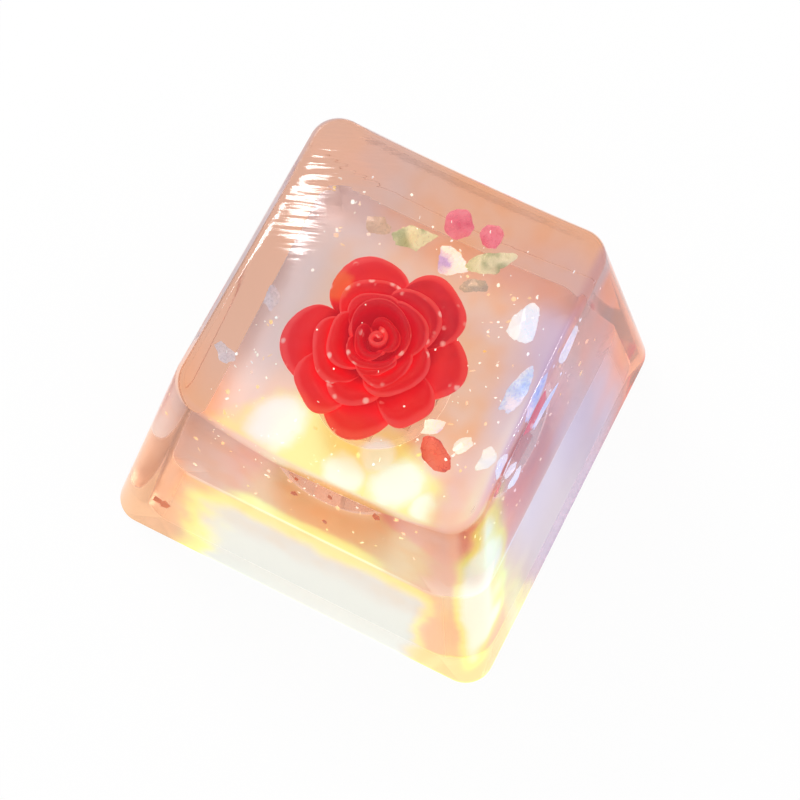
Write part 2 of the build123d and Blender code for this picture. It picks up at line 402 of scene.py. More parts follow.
def resin_tint(look, at, colours):
    """Peach with apricot clouds, cooler to the left and right, paler before the light at the front, and
    painted light on the front of the top and on the cavity's front walls.
    """
    band = at.band
    tint = look.layers(
        colours.peach,
        (look.ease(at.blot, 0.4, 0.7), colours.apricot),
        (0.5 * band(at.y, 6.2, 7.2), colours.apricot),
        (at.left, colours.blush),
        (at.right, colours.lilac),
        (at.side * band(at.y + at.drift, -6.5, -2.5), colours.orchid),
        (at.back, colours.rust),
        (look.clamp(at.foot + at.corner), colours.apricot),
        (at.near * band(at.x, 5, 6.5), colours.ice),
        # the front wall painted paler where the painted light lies behind it
        (at.wall * (1 - band(at.z, 4.5, 6)), colours.pane))
    # Painted light: lemon and white on the top where the light comes up through it
    lens = look.layers(tint, (at.pools, colours.lemon), (at.patch, WHITE))
    # Painted light on the cavity's front walls: amber round it, lemon at its edge, white at its brightest,
    # salmon in the plain column beside it
    painted_glow_walls = look.layers(
        colours.amber,
        (look.ease(at.light, 0.0, 0.45), colours.lemon),
        (look.ease(at.light, 0.4, 0.9), WHITE),
        (at.column, colours.salmon))
    front = band(0 - at.y, 2, 4.5) * (1 - at.ceiling)
    clear = band(0 - at.y, 1, 3) * (1 - band(at.x + at.wander, 4, 5.4))
    return look.layers(
        tint,
        (at.dish, lens),
        (at.shown * front, painted_glow_walls),
        (at.frost * at.ceiling * clear, WHITE))


def resin_painted_glow(look, at, colours):
    """Painted glow: emission that stands in for the faint light coming up through the front and the right
    of the cap.
    """
    band, x, y, frost, wander = at.band, at.x, at.y, at.frost, at.wander
    front = frost * band(0 - y, -1, 4)
    fringe = band(0.3 * wander - y, 5.3, 6) * band(x + wander, -4.6, -2.6)
    fringe = fringe * (1 - band(x + wander, 2, 4))
    lit = at.light * at.shown
    cool = at.side * band(y + at.drift, -7, -4) * (1 - band(y + at.drift, 0, 5))
    highlight_strip = at.highlight_strip()
    return look.layers(
        BLACK,
        (look.clamp(front + 0.3 * at.foot), colours.ember),
        (at.pools * at.ceiling * frost * band(x + wander, -4, -2), colours.haze),
        (at.patch * at.dish, colours.pool),
        (fringe * at.ceiling * frost, colours.brink),
        (look.ease(lit, 0.0, 0.5), colours.glow),
        (look.ease(lit, 0.4, 0.95), colours.core),
        (frost * band(y, 3, 5.5), colours.dusk),
        (at.near * band(x, 6, 6.6) * band(y, -6, -5), colours.frostlight),
        (at.stem_root(), colours.root),
        # Painted sheen: cool light on the right wall
        (cool * band(at.z, 2, 6), colours.painted_sheen),
        # Painted highlight: the long bright strip in the front of the right wall, and its edge
        (at.back, colours.backlight),
        (look.ease(highlight_strip, 0.0, 0.5), colours.highlight_strip_edge),
        (look.ease(highlight_strip, 0.4, 1.0), colours.highlight_strip))


def resin_ripples(look, at):
    """Shallow ripples in the top, deepest towards its back left corner."""
    turned = look.node("ShaderNodeVectorRotate", {"rotation_type": "Z_AXIS"},
                       {"Vector": at.place, "Angle": math.radians(-25)})
    ripple = look.noise(look.stretch(turned, 0.3, 2.4, 1.0), 0.6 * MM, 1.0)
    swell = at.band(0 - at.x, 2, 4.5) * at.band(at.y, 0.5, 3) * at.band(at.z, 10, 11)
    return look.bump(ripple * (0.12 * at.band(at.z, 9, 10) + swell), 0.05 * MM, 0.25)


def resin_finish(colours):
    """Clear cast resin: peach, lilac to the right, rippled on top, frosted in the cavity, with painted
    light and painted glow in the cavity and through the top.
    """
    look = Finish("cast_resin")
    at = ResinMasks(look)
    surface = look.node("ShaderNodeBsdfPrincipled", None, {
        # Base colour: the resin's tint, with painted light pooled at the front
        "Base Color": resin_tint(look, at, colours),
        "Roughness": 0.03 + 0.05 * at.fine + at.frost * 0.42,
        "IOR": 1.5,
        "Specular Tint": (0.35, 0.35, 0.35, 1.0),
        "Transmission Weight": 1.0,
        "Normal": resin_ripples(look, at),
        # Painted glow: emission that stands in for the light coming up through the cap, with a painted
        # highlight strip and a painted sheen on the right wall
        "Emission Color": resin_painted_glow(look, at, colours),
        "Emission Strength": 1.0,
    })
    volume = look.node("ShaderNodeVolumeAbsorption", None,
                       {"Color": (*colours.depth, 1.0), "Density": 60.0})
    return look.finish(surface, volume)


# The rose's heart, and a coral splash on one petal: place across, place along and radius in millimetres
HEART = ((-0.7, 0.9, 2.0),)
SPLASH = ((-3.4, 2.2, 0.75),)


def petal_finish(colours):
    """Satin moulded petals with a painted glow in their own colour in place of the light through the
    resin: pale pink painted highlights on the lips, deep red painted shade in the hollows between them, a
    few bright specks.
    """
    look = Finish("rose_petals")
    place = look.place()
    lip = look.mark("lip")
    hollow = look.mark("hollow")
    cloud = look.noise(place, 1.1 * MM)
    grain = look.noise(place, 0.12 * MM, 4.0)
    ragged = cloud - 0.5
    flat = look.stretch(place, 1.0, 1.0, 0.0)
    far = look.axis(place, "X") * 0.4 + look.axis(place, "Y") * 0.9 + ragged * (3 * MM)
    deep = 1 - look.ease(look.axis(place, "Z") + ragged * (1.5 * MM), 6.7 * MM, 7.6 * MM)
    cell = look.node("ShaderNodeTexVoronoi", {"feature": "F1"},
                     {"Vector": place, "Scale": 1.0 / (0.62 * MM)})
    speck = (1 - look.ease(cell, 0.12, 0.3)) * look.ease(cloud + lip * 0.2, 0.55, 0.64)
    base = look.layers(
        colours.petal,
        (look.ease(far, -0.5 * MM, 3.5 * MM), colours.crimson),
        (0.6 * deep, colours.petal_outer),
        # painted shade between the petals
        (look.ease(hollow + ragged * 0.3, 0.15, 0.8), colours.petal_painted_shade),
        (0.6 * look.spots(flat, HEART, ragged * 0.6), colours.crimson),
        # painted highlight along the lips
        (0.8 * look.ease(lip + ragged * 0.7, 0.2, 0.85), colours.petal_lip_highlight),
        (0.8 * look.spots(flat, SPLASH, ragged * 1.2), colours.coral),
        (speck, colours.speck))
    surface = look.node("ShaderNodeBsdfPrincipled", None, {
        "Base Color": base,
        "Roughness": 0.3 + 0.2 * grain,
        "Normal": look.bump(grain, 0.02 * MM, 0.15),
        # Painted glow: the petals' own colour as emission, in place of light through the resin
        "Emission Color": base,
        "Emission Strength": 0.4,
    })
    return look.finish(surface)


# Where a ramp has its three colours: for film, and for scraps of petal
FILM_PLACES = (0.36, 0.5, 0.64)
PETAL_PLACES = (0.3, 0.5, 0.7)


def film_finish(name, shades, lit, size=1.1 * MM, places=FILM_PLACES):
    """Iridescent film whose painted glow (emission of its own colour, as strong as lit) stands in for the
    light through the resin: its colour runs through the shades along the sheet.
    """
    look = Finish(name)
    place = look.place()
    cloud = look.noise(place, size, 2.0)
    fine = look.noise(place, 0.15 * MM, 3.0)
    stops = list(zip(places, shades))
    shade = look.node("ShaderNodeValToRGB", {"stops": stops}, {"Fac": cloud * 0.9 + fine * 0.1})
    surface = look.node("ShaderNodeBsdfPrincipled", None, {
        "Base Color": shade,
        "Metallic": 0.2,
        "Roughness": 0.18 + 0.2 * fine,
        "Coat Weight": 0.6,
        "Normal": look.bump(fine, 0.02 * MM, 0.5),
        # Painted glow: the film's own colour as emission, in place of light through the resin
        "Emission Color": shade,
        "Emission Strength": lit,
    })
    return look.finish(surface)


def floor_finish():
    """Pale floor that shows white to the camera and in the resin, and keeps a soft shadow."""
    look = Finish("pale_floor")
    camera = look.node("ShaderNodeLightPath", out="Is Camera Ray")
    glossy = look.node("ShaderNodeLightPath", out="Is Glossy Ray")
    clear = look.node("ShaderNodeLightPath", out="Is Transmission Ray")
    seen = look.clamp(camera + glossy + clear)
    mottle = look.noise(look.place(), 40 * MM, 2.0)
    paper = look.mix(mottle, (0.86, 0.86, 0.86), (0.9, 0.9, 0.9))
    plain = look.node("ShaderNodeBsdfDiffuse", None, {"Color": paper})
    white = look.node("ShaderNodeEmission", None, {"Color": (*WHITE, 1.0), "Strength": 1.0})
    return look.finish(look.node("ShaderNodeMixShader", None, {0: seen * 0.93, 1: plain, 2: white}))


# Meshes

def add_piece(name, points, faces, material, slot, stands_for=(), marks=None, sharp=None):
    """A new mesh piece that rides on the cap. Marks are values kept at the points, for the shader."""
    mesh = bpy.data.meshes.new(name)
    mesh.from_pydata([tuple(p) for p in points], [], faces)
    work = bmesh.new()
    work.from_mesh(mesh)
    bmesh.ops.recalc_face_normals(work, faces=work.faces)
    work.to_mesh(mesh)
    work.free()
    for mark, values in (marks or {}).items():
        kept = mesh.attributes.new(mark, "FLOAT", "POINT")
        kept.data.foreach_set("value", np.asarray(values, np.float32))
    if sharp is not None:
        mesh.shade_smooth()
        mesh.set_sharp_from_angle(angle=sharp)
    mesh.materials.append(material)
    piece = bpy.data.objects.new(name, mesh)
    bpy.context.scene.collection.objects.link(piece)
    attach(piece, "root")
    if stands_for:
        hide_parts(*stands_for)
    return piece


def pick(values, places):
    """Some of an array's values, or the one value that holds at every place."""
    return values[places] if np.ndim(values) else values


class CapForm:
    """The cap's outside and underside as rings of points."""
    SIDE_POINTS = 26
    CORNER_POINTS = 12
    TOP_RINGS = 30
    TOP_MIDDLE = 0.04
    RIM_RINGS = 8
    WALL_RINGS = 13
    CAVITY_RINGS = 8
    STEM_RINGS = 6
    CEILING_SHARES = (0.25, 0.5, 0.75)
    BEVEL = 0.02 * MM
    RIM_ROUNDS = 20
    NUDGE = 0.05 * MM

    def __init__(self, shape):
        self.shape = shape
        half = shape.foot_width / 2
        self.half = half
        self.top_front = shape.front_height * math.tan(shape.front_draft) - half
        self.top_back = half - shape.back_height * math.tan(shape.back_draft)

    def outline(self, height, inset, corner):
        """Ring round the cap's walls, with each point's own height, moved in from them."""
        shape = self.shape
        side = self.half - height * math.tan(shape.side_draft) - inset
        front = height * math.tan(shape.front_draft) - self.half + inset
        back = self.half - height * math.tan(shape.back_draft) - inset
        corners = ((1, -1, front), (1, 1, back), (-1, 1, back), (-1, -1, front))
        turns = np.linspace(0, math.pi / 2, self.CORNER_POINTS)
        count = 4 * (self.CORNER_POINTS + self.SIDE_POINTS)
        height = np.broadcast_to(height, count)
        xs, ys = np.zeros(count), np.zeros(count)
        step = self.CORNER_POINTS + self.SIDE_POINTS
        ends = []
        for number, (across, along, edge) in enumerate(corners):
            turn = turns + (number - 1) * math.pi / 2
            places = np.arange(number * step, number * step + self.CORNER_POINTS)
            xs[places] = across * (pick(side, places) - corner) + corner * np.cos(turn)
            ys[places] = pick(edge, places) - along * corner + corner * np.sin(turn)
            ends.append(places)
        share = (np.arange(self.SIDE_POINTS) + 1) / (self.SIDE_POINTS + 1)
        for number in range(4):
            start, stop = ends[number][-1], ends[(number + 1) % 4][0]
            places = np.arange(start + 1, start + 1 + self.SIDE_POINTS)
            a = np.array([xs[start], ys[start]])
            b = np.array([xs[stop], ys[stop]])
            line = a + (b - a) * share[:, None]
            if np.ndim(side):
                line = self.on_wall(number, line, height[places], inset)
            xs[places], ys[places] = line[:, 0], line[:, 1]
        return np.column_stack([xs, ys, height])

    def on_wall(self, number, line, height, inset):
        """Moves points of one side on to that side's sloping wall at their own heights."""
        shape = self.shape
        side = self.half - height * math.tan(shape.side_draft) - inset
        if number == 0:
            line[:, 0] = side
        elif number == 1:
            line[:, 1] = self.half - height * math.tan(shape.back_draft) - inset
        elif number == 2:
            line[:, 0] = -side
        else:
            line[:, 1] = height * math.tan(shape.front_draft) - self.half + inset
        return line

    def top(self, x, y):
        """Height of the dished top."""
        shape = self.shape
        share = (y - self.top_front) / (self.top_back - self.top_front)
        height = shape.front_height + (shape.back_height - shape.front_height) * share
        sag = shape.dish_front + (shape.dish_back - shape.dish_front) * share
        side = self.half - height * math.tan(shape.side_draft)
        radius = (side**2 + sag**2) / (2 * sag)
        return height - sag + radius - np.sqrt(radius**2 - x**2)

    def rim_rings(self):
        """Rings of the rounded edge, from the wall over to the top."""
        shape = self.shape
        height = np.full(4 * (self.CORNER_POINTS + self.SIDE_POINTS), shape.front_height)
        for _ in range(self.RIM_ROUNDS):
            ring = self.outline(height, 0, shape.corner)
            height = self.top(ring[:, 0], ring[:, 1])
        ring = self.outline(height, 0, shape.corner)
        rise = self.outline(height + 2 * self.NUDGE, 0, shape.corner) - ring
        level = self.outline(float(shape.front_height), 0, shape.corner)
        along = np.roll(level, -1, 0) - np.roll(level, 1, 0)
        wall = np.cross(along, rise)
        wall /= np.linalg.norm(wall, axis=1)[:, None]
        d, x, y = self.NUDGE, ring[:, 0], ring[:, 1]
        slope_x = (self.top(x + d, y) - self.top(x - d, y)) / (2 * d)
        slope_y = (self.top(x, y + d) - self.top(x, y - d)) / (2 * d)
        up = np.column_stack([-slope_x, -slope_y, np.ones(len(ring))])
        up /= np.linalg.norm(up, axis=1)[:, None]
        dot = (wall * up).sum(1)[:, None]
        centre = ring - shape.rim * (wall + up) / (1 + dot)
        open_angle = np.arccos(dot)
        rings = []
        for share in np.linspace(0, 1, self.RIM_RINGS):
            normal = np.sin((1 - share) * open_angle) * wall + np.sin(share * open_angle) * up
            rings.append(centre + shape.rim * normal / np.sin(open_angle))
        return rings

    def circle(self, turns, radius, height):
        """A ring of points on the stem's axis. The radius may differ from point to point."""
        level = np.full(len(turns), height)
        return np.column_stack([radius * np.cos(turns), radius * np.sin(turns), level])

    def cross(self, turns, height):
        """The socket's cross outline at the given turns."""
        shape = self.shape
        reach, x, y = shape.socket / 2, shape.socket_arm_x / 2, shape.socket_arm_y / 2
        cos = np.maximum(np.abs(np.cos(turns)), 1e-9)
        sin = np.maximum(np.abs(np.sin(turns)), 1e-9)
        radius = np.maximum(np.minimum(reach / cos, x / sin), np.minimum(y / cos, reach / sin))
        return self.circle(turns, radius, height)

    def cross_turns(self):
        """The turns of the cross's corners."""
        shape = self.shape
        reach, x, y = shape.socket / 2, shape.socket_arm_x / 2, shape.socket_arm_y / 2
        first = [math.atan2(x, reach), math.atan2(x, y), math.atan2(reach, y)]
        whole = first + [math.pi - turn for turn in first]
        return whole + [-turn for turn in whole]

    def rings(self):
        """Every ring from the top's middle to the socket's end, and where the underside starts."""
        shape = self.shape
        rim = self.rim_rings()
        middle = np.array([0, (self.top_front + self.top_back) / 2])
        chain = []
        for share in np.linspace(self.TOP_MIDDLE, 1, self.TOP_RINGS)[:-1]:
            flat = middle + (rim[-1][:, :2] - middle) * share
            chain.append(np.column_stack([flat, self.top(flat[:, 0], flat[:, 1])]))
        chain += rim[::-1]
        bevel = self.BEVEL
        foot = self.outline(bevel, 0, shape.corner)
        for share in np.linspace(0, 1, self.WALL_RINGS)[1:]:
            chain.append(rim[0] + (foot - rim[0]) * share)
        chain.append(self.outline(0.0, bevel, shape.corner))
        outside = len(chain)
        chain.append(self.outline(0.0, shape.skirt - bevel, shape.cavity_corner))
        ceiling = shape.cavity_height
        for height in np.linspace(bevel, ceiling - bevel, self.CAVITY_RINGS):
            chain.append(self.outline(float(height), shape.skirt, shape.cavity_corner))
        edge = self.outline(ceiling, shape.skirt + bevel, shape.cavity_corner)
        chain.append(edge)
        turns = np.arctan2(edge[:, 1], edge[:, 0])
        for corner in self.cross_turns():
            turns[np.argmin(np.abs(np.angle(np.exp(1j * (turns - corner)))))] = corner
        radius = shape.stem / 2
        root = self.circle(turns, radius + shape.stem_root, ceiling)
        for share in self.CEILING_SHARES:
            chain.append(edge * (1 - share) + root * share)
        chain.append(root)
        low = shape.stem_recess
        for height in np.linspace(ceiling - shape.stem_root, low + bevel, self.STEM_RINGS):
            chain.append(self.circle(turns, radius, height))
        chain.append(self.circle(turns, radius - bevel, low))
        chain.append(self.cross(turns, low))
        chain.append(self.cross(turns, low + shape.socket_depth))
        return chain, outside


def skin(chain):
    """Points and faces of a closed skin over a chain of rings, with a fan at each end."""
    count = len(chain[0])
    points = [p for ring in chain for p in ring]
    faces = []
    for number in range(len(chain) - 1):
        a, b = number * count, (number + 1) * count
        for k in range(count):
            n = (k + 1) % count
            faces.append((a + k, a + n, b + n, b + k))
    for start, ring in ((0, chain[0]), ((len(chain) - 1) * count, chain[-1])):
        points.append(ring.mean(0))
        faces += [(start + k, start + (k + 1) % count, len(points) - 1) for k in range(count)]
    return points, faces


# The rose's petals from the outside in: turn and half width in degrees, then, in millimetres, the radius
# of the foot and of the lip and their heights over the rose's flat back
PETALS = (
    (125, 44, 1.3, 3.95, 0.8, 1.55),
    (57, 38, 1.3, 4.15, 0.8, 1.85),
    (6, 36, 1.3, 4.15, 0.7, 1.5),
    (-35, 28, 1.3, 4.0, 0.9, 1.85),
    (-78, 38, 1.3, 4.1, 0.6, 1.5),
    (-118, 32, 1.3, 3.95, 0.9, 1.75),
    (-155, 42, 1.3, 4.15, 0.7, 1.6),
    (-140, 52, 1.0, 2.85, 1.1, 2.35),
    (-92, 44, 1.0, 2.95, 1.1, 2.15),
    (-28, 58, 1.0, 2.65, 1.2, 2.45),
    (58, 50, 1.0, 2.9, 1.1, 2.35),
    (125, 50, 1.0, 2.8, 1.0, 2.2),
    (-45, 56, 0.9, 2.1, 1.2, 2.6),
    (-150, 58, 0.9, 2.15, 1.2, 2.65),
    (45, 60, 0.9, 2.15, 1.2, 2.7),
    (125, 55, 0.9, 2.05, 1.2, 2.6),
    (-68, 52, 0.8, 1.65, 1.3, 2.75),
    (88, 116, 0.95, 1.5, 1.4, 3.1),
    (-88, 78, 0.9, 1.42, 1.4, 2.95),
    (-120, 96, 0.5, 0.98, 1.6, 2.8),
    (40, 100, 0.45, 0.9, 1.6, 2.85),
)


class Sheets:
    """Gathers open sheets of points into one mesh, with marks for the lips and for the painted shade in
    the hollows.
    """

    def __init__(self):
        self.points = []
        self.faces = []
        self.lip = []
        self.hollow = []

    def add(self, grid, lip, hollow):
        """Adds one sheet, a grid of points in rows and columns."""
        rows, columns = grid.shape[:2]
        start = len(self.points)
        self.points += list(grid.reshape(-1, 3))
        self.lip += list(lip.reshape(-1))
        self.hollow += list(hollow.reshape(-1))
        for row in range(rows - 1):
            for column in range(columns - 1):
                a = start + row * columns + column
                self.faces.append((a, a + 1, a + columns + 1, a + columns))


def smooth(value, start, end):
    """0 before start, 1 after end, smooth between."""
    share = np.clip((value - start) / (end - start), 0, 1)
    return share * share * (3 - 2 * share)


# How square a petal's lip is (2 is a half circle), the share of its height that its corners reach, and
# the powers by which it flares and cups
LIP_POWER = 2.2
CORNER_RISE = 0.15
FLARE_POWER = 1.1
CUP_POWER = 1.8


def add_petal(sheets, rose, number, petal):
    """One petal: a curved sheet from its foot to a round lip that is rolled over and waved."""
    turn, span, foot, lip, low, high = petal
    across, up = np.meshgrid(np.linspace(-1, 1, rose.columns), np.linspace(0, 1, rose.rows))
    edge = (1 - np.abs(across)**LIP_POWER)**(1 / LIP_POWER)
    rise = up * (CORNER_RISE + (1 - CORNER_RISE) * edge)
    phase = 1.9 * number
    way = math.radians(turn) + math.radians(span) * across
    curl = smooth(up, 0.66, 1.0) * edge
    wave = rose.wave * up**2 * edge
    radius = (foot + (lip - foot) * rise**FLARE_POWER) * MM
    radius += wave * np.cos(5.3 * across + 1.7 * phase)
    height = (low + (high - low) * (1 - (1 - rise)**CUP_POWER)) * MM
    height += wave * np.sin(4.1 * across + phase) - rose.roll * curl**2
    grid = np.stack([radius * np.cos(way), radius * np.sin(way), height], -1)
    fringe = np.maximum(smooth(up, 0.78, 1.0), smooth(np.abs(across), 0.9, 1.0) * up)
    # The painted shade is deepest at the petal's foot.
    sheets.add(grid, fringe, 1 - smooth(rise, 0.1, 0.85))


def add_bud(sheets):
    """The rolled heart: a small spiral wall."""
    t, v = np.meshgrid(np.linspace(0, 1, 60), np.linspace(0, 1, 7))
    turn = t * math.radians(430) + 0.6
    radius = (0.08 + 0.3 * t + 0.08 * v**3) * MM
    height = (1.3 + (1.4 + 0.1 * np.sin(turn * 1.5)) * v) * MM
    grid = np.stack([radius * np.cos(turn), radius * np.sin(turn), height], -1)
    # Painted shade, deepest at the bud's foot.
    sheets.add(grid, v**3 * 0.8, 1 - 0.7 * v)


def add_core(sheets):
    """The flat back and the swelling that the petals rise from."""
    turns = np.linspace(0, 2 * math.pi, 49)
    profile = ((0.02, 0.0), (2.2, 0.0), (2.1, 0.25), (1.5, 0.8), (0.85, 1.5), (0.02, 1.55))
    rings = [[(r * math.cos(t) * MM, r * math.sin(t) * MM, z * MM) for t in turns] for r, z in profile]
    grid = np.array(rings)
    # The core is all in painted shade.
    sheets.add(grid, np.zeros(grid.shape[:2]), np.ones(grid.shape[:2]))


def node_frame(node):
    """Middle, long way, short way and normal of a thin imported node, with its half length and width."""
    points = np.array([v.co for v in frame["nodes"][node].data.vertices])
    middle = (points.min(0) + points.max(0)) / 2
    ways = np.linalg.svd(points - points.mean(0), full_matrices=False)[2]
    reach = [np.abs((points - middle) @ way).max() for way in ways]
    return middle, ways, reach


def chord(turn, ends, reaches):
    """How far out a straight-sided outline lies at a turn, from the turns and reaches of its corners."""
    past = (turn - ends) % (2 * math.pi)
    last = int(np.argmin(past))
    following = (last + 1) % len(ends)
    gap = (ends[following] - ends[last]) % (2 * math.pi)
    a, b = reaches[last], reaches[following]
    return a * b * math.sin(gap) / (a * math.sin(past[last]) + b * math.sin(gap - past[last]))


class TornSheet:
    """A torn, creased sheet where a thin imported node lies, swung in its plane."""
    SPOKES = 42
    RINGS = 9
    CORNERS = 9
    CREASES = 4
    LEVEL = 0.35
    LONGEST = 1.15
    FRAY = 0.04

    def __init__(self, node, seed, crumple, shortest, widen, swing=0.0):
        middle, ways, reach = node_frame(node)
        long_way = ways[0] * math.cos(swing) + ways[1] * math.sin(swing)
        short_way = ways[1] * math.cos(swing) - ways[0] * math.sin(swing)
        random = np.random.default_rng(seed)
        turns = np.linspace(0, 2 * math.pi, self.SPOKES, endpoint=False)
        rim = self.rim(random, turns, shortest)
        creases = [(random.uniform(0, math.pi), random.uniform(-0.4, 0.4), random.uniform(0.4, 1))
                   for _ in range(self.CREASES)]
        self.points, self.faces, self.lip = [], [], []
        for ring in range(self.RINGS + 1):
            share = ring / self.RINGS
            for spoke, turn in enumerate(turns):
                a = share * rim[spoke] * math.cos(turn)
                b = share * rim[spoke] * math.sin(turn)
                folds = sum(w * abs(a * math.cos(t) + b * math.sin(t) - c) for t, c, w in creases)
                offset = crumple * (folds / len(creases) - self.LEVEL)
                flat = middle + long_way * a * reach[0] + short_way * b * reach[1] * widen
                self.points.append(flat + ways[2] * offset)
                self.lip.append(share)
        for ring in range(self.RINGS):
            for spoke in range(self.SPOKES):
                a = ring * self.SPOKES + spoke
                b = ring * self.SPOKES + (spoke + 1) % self.SPOKES
                self.faces.append((a, b, b + self.SPOKES, a + self.SPOKES))

    def rim(self, random, turns, shortest):
        """How far the torn edge lies out at each turn."""
        steps = np.arange(self.CORNERS) + random.uniform(-0.3, 0.3, self.CORNERS)
        ends = steps * 2 * math.pi / self.CORNERS
        reaches = random.uniform(shortest, self.LONGEST, self.CORNERS)
        straight = np.array([chord(turn, ends, reaches) for turn in turns])
        return straight + random.uniform(-self.FRAY, self.FRAY, self.SPOKES)


def thicken(piece, wall, levels):
    """Gives an open sheet its thickness, and rounds it."""
    solid = piece.modifiers.new("wall", "SOLIDIFY")
    solid.thickness = wall
    solid.offset = 0
    if levels:
        rounder = piece.modifiers.new("round", "SUBSURF")
        rounder.levels = levels
        rounder.render_levels = levels


# Operators: one for each piece or group of like pieces

class KEYCAP_OT_resin(bpy.types.Operator):
    """Casts the clear cap with its dished top, cavity, stem and socket"""
    bl_idname = "keycap.resin"
    bl_label = "Cast the resin cap"
    SHARP = math.radians(32)

    def execute(self, context):
        form = CapForm(context.scene.keycap_shape)
        chain, outside = form.rings()
        points, faces = skin(chain)
        count = len(chain[0])
        inside = np.zeros(len(points))
        inside[(outside + 1) * count:len(chain) * count] = 1
        inside[-1] = 1
        add_piece("resin_body", points, faces, resin_finish(context.scene.keycap_colours), "resin",
                  ["resin_cap"], {"inside": inside}, self.SHARP)
        return {"FINISHED"}


class KEYCAP_OT_rose(bpy.types.Operator):
    """Makes the rose: petal layers round a rolled bud"""
    bl_idname = "keycap.rose"
    bl_label = "Make the rose"

    def execute(self, context):
        rose = context.scene.keycap_rose
        sheets = Sheets()
        add_core(sheets)
        add_bud(sheets)
        for number, petal in enumerate(PETALS):
            add_petal(sheets, rose, number, petal)
        base = np.array([rose.centre_x, rose.centre_y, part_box("rose")[0].z])
        points = [p + base for p in sheets.points]
        piece = add_piece("rose_bloom", points, sheets.faces, petal_finish(context.scene.keycap_colours),
                          "rose_red", ["rose"], {"lip": sheets.lip, "hollow": sheets.hollow}, ALL_SMOOTH)
        thicken(piece, rose.wall, 1)
        return {"FINISHED"}


# Colours that each film runs through
FILMS = {
    "film_green": ((0.48, 0.54, 0.30), (0.70, 0.75, 0.52), (0.36, 0.44, 0.26)),
    "film_violet": ((0.52, 0.46, 0.95), (0.86, 0.94, 1.0), (0.96, 1.0, 1.0)),
    "film_grey": ((0.38, 0.40, 0.34), (0.60, 0.60, 0.52), (0.48, 0.50, 0.48)),
    "film_tan": ((0.56, 0.44, 0.32), (0.70, 0.58, 0.46), (0.62, 0.50, 0.40)),
    "film_pearl": ((0.80, 1.0, 0.92), (0.84, 1.0, 1.0), (0.72, 0.92, 1.0)),
    "film_blue": ((0.36, 0.60, 0.94), (0.56, 0.78, 1.0), (0.84, 0.95, 1.0)),
    "film_gold": ((0.92, 0.80, 0.30), (1.0, 0.96, 0.62), (1.0, 0.98, 0.92)),
}
# Films that glow less, and the strengths of the films' painted glow (emission)
DULL_FILMS = ("film_grey", "film_tan")
BRIGHT_LIT = 0.72
DULL_LIT = 0.4

# Flakes deep at the left, which show only faintly
FAINT = ("flake_left_high", "flake_left_low")
FAINT_SHADES = ((0.60, 0.56, 0.60), (0.76, 0.72, 0.72), (0.62, 0.60, 0.64))
FAINT_LIT = 0.5

# Shades of the petal scraps and rust specks, each with the strength of its painted glow (emission)
RED_SHADES = ((0.44, 0.06, 0.09), (0.72, 0.15, 0.11), (0.76, 0.20, 0.15))
RED_LIT = 0.6
PINK_SHADES = ((0.60, 0.13, 0.23), (0.68, 0.24, 0.35), (0.56, 0.11, 0.21))
PINK_LIT = 0.8
RUST_SHADES = ((0.52, 0.13, 0.04), (0.60, 0.18, 0.06), (0.40, 0.12, 0.06))
RUST_LIT = 0.5


def record_slots():
    """The record's material slot of each node."""
    return {part["node"]: part["material_slot"] for part in frame["record"]["subparts"]}


class KEYCAP_OT_flakes(bpy.types.Operator):
    """Strews the torn, creased film flakes"""
    bl_idname = "keycap.flakes"
    bl_label = "Strew the film flakes"
    FIRST_SEED = 11
    CRUMPLE = 0.22 * MM
    SHORTEST = 0.65
    WIDEN = 1.15
    WALL = 0.03 * MM

    def execute(self, context):
        looks = {}
        for slot, shades in FILMS.items():
            lit = DULL_LIT if slot in DULL_FILMS else BRIGHT_LIT
            looks[slot] = film_finish(f"{slot}_sheet", shades, lit)
        faint = film_finish("faint_sheet", FAINT_SHADES, FAINT_LIT)
        slots = record_slots()
        nodes = sorted(node for node in frame["nodes"] if node.startswith("flake_"))
        for number, node in enumerate(nodes):
            sheet = TornSheet(node, self.FIRST_SEED + number, self.CRUMPLE, self.SHORTEST, self.WIDEN)
            look = faint if node in FAINT else looks[slots[node]]
            name = node.replace("flake_", "film_")
            piece = add_piece(name, sheet.points, sheet.faces, look, slots[node], [node])
            thicken(piece, self.WALL, 0)
        return {"FINISHED"}


class KEYCAP_OT_scraps(bpy.types.Operator):
    """Lays the loose scraps of petal"""
    bl_idname = "keycap.scraps"
    bl_label = "Lay the petal scraps"
    FIRST_SEED = 41
    NODES = ("petal_scrap_red", "petal_scrap_wide", "petal_scrap_small")
    CRUMPLE = 0.3 * MM
    SHORTEST = 0.95
    WALL = 0.22 * MM
    RED_WIDEN, RED_SWING = 0.95, -0.55
    PINK_WIDEN, PINK_SWING = 1.4, 0.0

    def execute(self, context):
        red = film_finish("petal_red_sheet", RED_SHADES, RED_LIT, 0.9 * MM, PETAL_PLACES)
        pink = film_finish("petal_pink_sheet", PINK_SHADES, PINK_LIT, places=PETAL_PLACES)
        slots = record_slots()
        for number, node in enumerate(self.NODES):
            look, widen, swing = pink, self.PINK_WIDEN, self.PINK_SWING
            if slots[node] == "rose_red":
                look, widen, swing = red, self.RED_WIDEN, self.RED_SWING
            seed = self.FIRST_SEED + number
            sheet = TornSheet(node, seed, self.CRUMPLE, self.SHORTEST, widen, swing)
            piece = add_piece(f"loose_{node}", sheet.points, sheet.faces, look, slots[node], [node],
                              {"lip": sheet.lip, "hollow": np.zeros(len(sheet.lip))}, ALL_SMOOTH)
            thicken(piece, self.WALL, 1)
        return {"FINISHED"}


